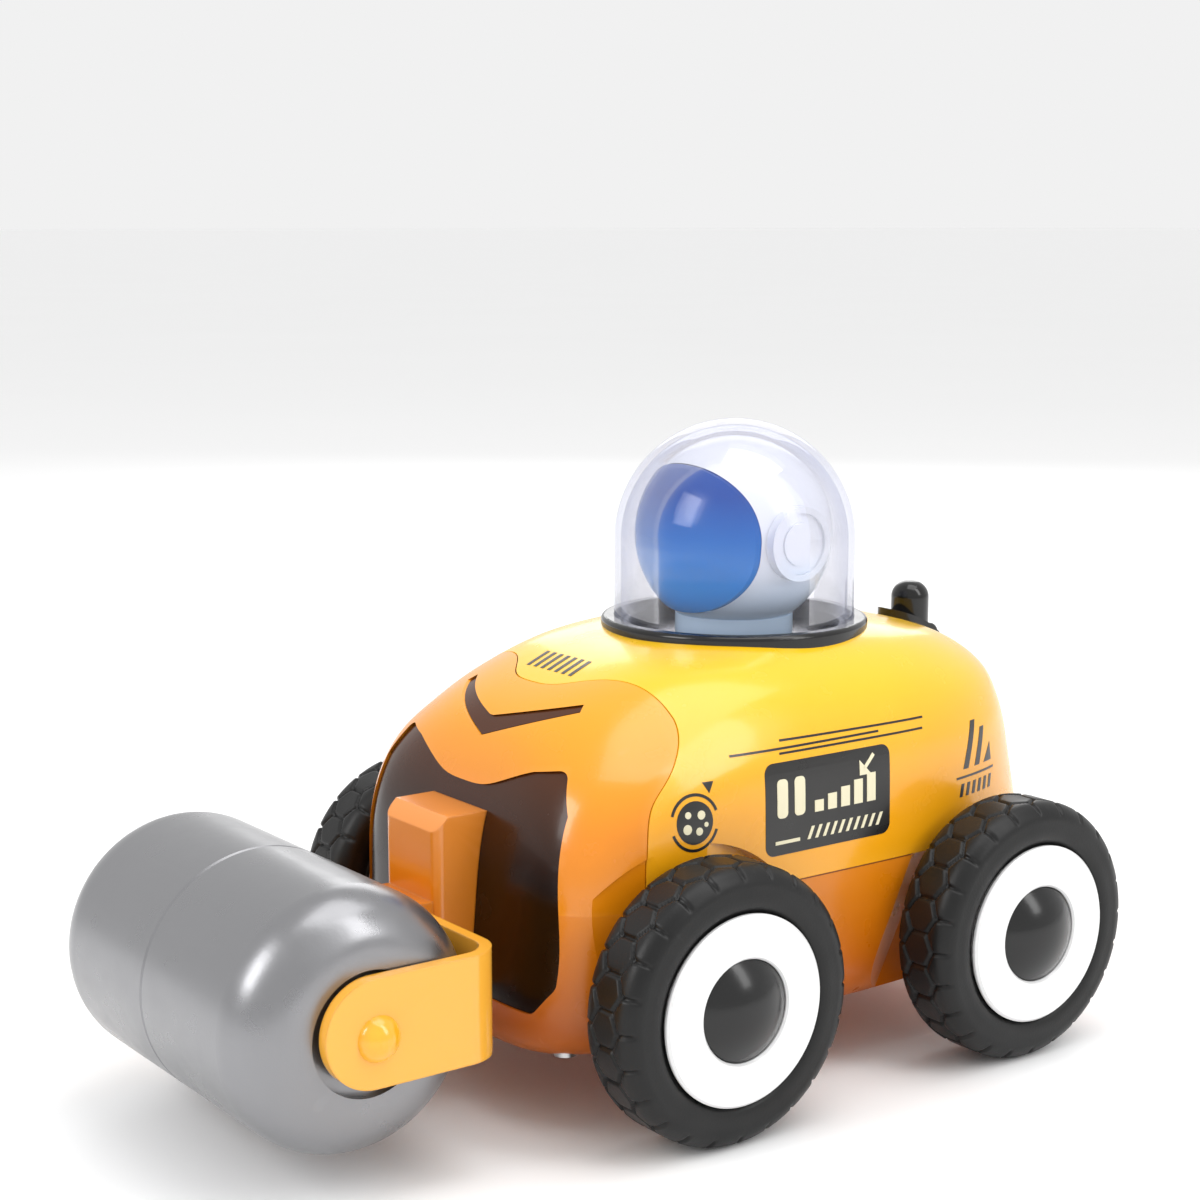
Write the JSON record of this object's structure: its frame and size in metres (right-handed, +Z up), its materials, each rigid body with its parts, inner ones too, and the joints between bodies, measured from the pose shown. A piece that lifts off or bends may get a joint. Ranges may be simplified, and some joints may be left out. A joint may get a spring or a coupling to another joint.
{
  "type": "toy road roller",
  "caption": "Toy road roller: rounded shell on steered and driven wheels, drum in a fork at the nose, helmeted cab under a clear dome, beacon at the rear.",
  "frame": {"origin": "on the ground, under the middle of the bounding box", "axes": "+Z up, the drum end points to -Y, +X is the vehicle's own left side"},
  "size_m": [0.1324, 0.2153, 0.135],
  "materials": {
    "shell_yellow": "glossy moulded",
    "mask_orange": "glossy moulded",
    "chassis_orange": "glossy moulded",
    "panel_dark": "high gloss",
    "black_gloss": "glossy",
    "dome_clear": "clear",
    "cab_black": "glossy",
    "helmet_white": "glossy",
    "visor_blue": "high gloss tinted",
    "light_blue": "diffusing",
    "roller_silver": "satin silver",
    "yoke_yellow": "glossy moulded",
    "post_orange": "glossy moulded",
    "cap_yellow": "glossy moulded",
    "tyre_rubber": "satin",
    "rim_white": "satin white",
    "hub_black": "glossy",
    "steel": "bright",
    "steer_plastic": "matte",
    "gear_plastic": "satin",
    "motor_can": "brushed",
    "bush_white": "satin",
    "cell_wrap": "printed sleeve without text",
    "contact_metal": "plated",
    "door_orange": "fine texture",
    "switch_black": "matte",
    "board_green": "lacquered",
    "component_dark": "mixed"
  },
  "bodies": {
    "chassis": {"upper_shell": "shell_yellow", "front_mask": "mask_orange", "lower_chassis": "chassis_orange", "grille_panel": "panel_dark", "vent_insert": "panel_dark", "cab_dome": "dome_clear", "dome_collar": "black_gloss", "cab_floor": "cab_black", "helmet_shell": "helmet_white", "helmet_visor": "visor_blue", "helmet_ears": "helmet_white", "helmet_neck": "helmet_white", "cab_light": "light_blue", "beacon": "black_gloss", "beacon_base": "black_gloss", "roller_axle": "steel", "roller_pin_caps": "cap_yellow", "yoke": "yoke_yellow", "yoke_post": "post_orange", "post_screws": "steel", "steering_frame": "steer_plastic", "king_pins": "steel", "steering_motor": "motor_can", "compound_shaft": "steel", "drive_motor": "motor_can", "gearbox_frame": "steer_plastic", "axle_bushes": "bush_white", "battery_cells": "cell_wrap", "battery_contacts": "contact_metal", "battery_door": "door_orange", "body_screws": "steel", "switch_body": "switch_black", "circuit_board": "board_green", "board_components": "component_dark"},
    "roller": {"roller_half_left": "roller_silver", "roller_half_right": "roller_silver"},
    "knuckle_left_body": {"knuckle_left": "steer_plastic", "stub_screw_left": "steel"},
    "knuckle_right_body": {"knuckle_right": "steer_plastic", "stub_screw_right": "steel"},
    "front_wheel_left": {"tyre_front_left": "tyre_rubber", "rim_front_left": "rim_white", "hub_cap_front_left": "hub_black"},
    "front_wheel_right": {"tyre_front_right": "tyre_rubber", "rim_front_right": "rim_white", "hub_cap_front_right": "hub_black"},
    "rear_axle_set": {"rear_axle": "steel", "axle_gear": "gear_plastic", "tyre_rear_left": "tyre_rubber", "rim_rear_left": "rim_white", "hub_cap_rear_left": "hub_black", "tyre_rear_right": "tyre_rubber", "rim_rear_right": "rim_white", "hub_cap_rear_right": "hub_black"},
    "compound": {"compound_gear": "gear_plastic"},
    "motor_rotor": {"drive_pinion": "gear_plastic"},
    "track_bar": {"steering_bar": "steer_plastic"},
    "steering_rotor": {"steering_pinion": "gear_plastic"},
    "switch_slider": {"switch_knob": "switch_black"}
  },
  "joints": [
    {"name": "roller_spin", "type": "hinge", "parent": "chassis", "child": "roller", "pos_m": [0, -0.0823, 0.0328], "axis": [1, 0, 0], "continuous": true},
    {"name": "rear_drive", "type": "hinge", "parent": "chassis", "child": "rear_axle_set", "pos_m": [0, 0.0696, 0.028], "axis": [1, 0, 0], "continuous": true},
    {"name": "compound_spin", "type": "hinge", "parent": "chassis", "child": "compound", "pos_m": [0, 0.06152, 0.03478], "axis": [1, 0, 0], "continuous": true},
    {"name": "rotor_spin", "type": "hinge", "parent": "chassis", "child": "motor_rotor", "pos_m": [0, 0.05986, 0.04419], "axis": [1, 0, 0], "continuous": true},
    {"name": "steer_left", "type": "hinge", "parent": "chassis", "child": "knuckle_left_body", "pos_m": [0.043, -0.0115, 0.028], "axis": [0, 0, 1], "range_deg": [-15, 15]},
    {"name": "steer_right", "type": "hinge", "parent": "chassis", "child": "knuckle_right_body", "pos_m": [-0.043, -0.0115, 0.028], "axis": [0, 0, 1], "range_deg": [-15, 15]},
    {"name": "front_spin_left", "type": "hinge", "parent": "knuckle_left_body", "child": "front_wheel_left", "pos_m": [0.0545, -0.0115, 0.028], "axis": [1, 0, 0], "continuous": true},
    {"name": "front_spin_right", "type": "hinge", "parent": "knuckle_right_body", "child": "front_wheel_right", "pos_m": [-0.0545, -0.0115, 0.028], "axis": [1, 0, 0], "continuous": true},
    {"name": "bar_slide", "type": "slide", "parent": "chassis", "child": "track_bar", "axis": [1, 0, 0], "range_m": [-0.0032, 0.0032]},
    {"name": "steer_pinion_spin", "type": "hinge", "parent": "chassis", "child": "steering_rotor", "pos_m": [0, -0.0235, 0.02917], "axis": [0, 1, 0], "range_deg": [-61, 61]},
    {"name": "switch_slide", "type": "slide", "parent": "chassis", "child": "switch_slider", "axis": [0, -1, 0], "range_m": [0, 0.003]}
  ],
  "couplings": [
    {"joint": "compound_spin", "follows": "rear_drive", "ratio": -3.2},
    {"joint": "rotor_spin", "follows": "rear_drive", "ratio": 8.96},
    {"joint": "steer_right", "follows": "steer_left", "ratio": 1},
    {"joint": "bar_slide", "follows": "steer_left", "m_per_rad": 0.012},
    {"joint": "steer_pinion_spin", "follows": "steer_left", "ratio": -4}
  ]
}
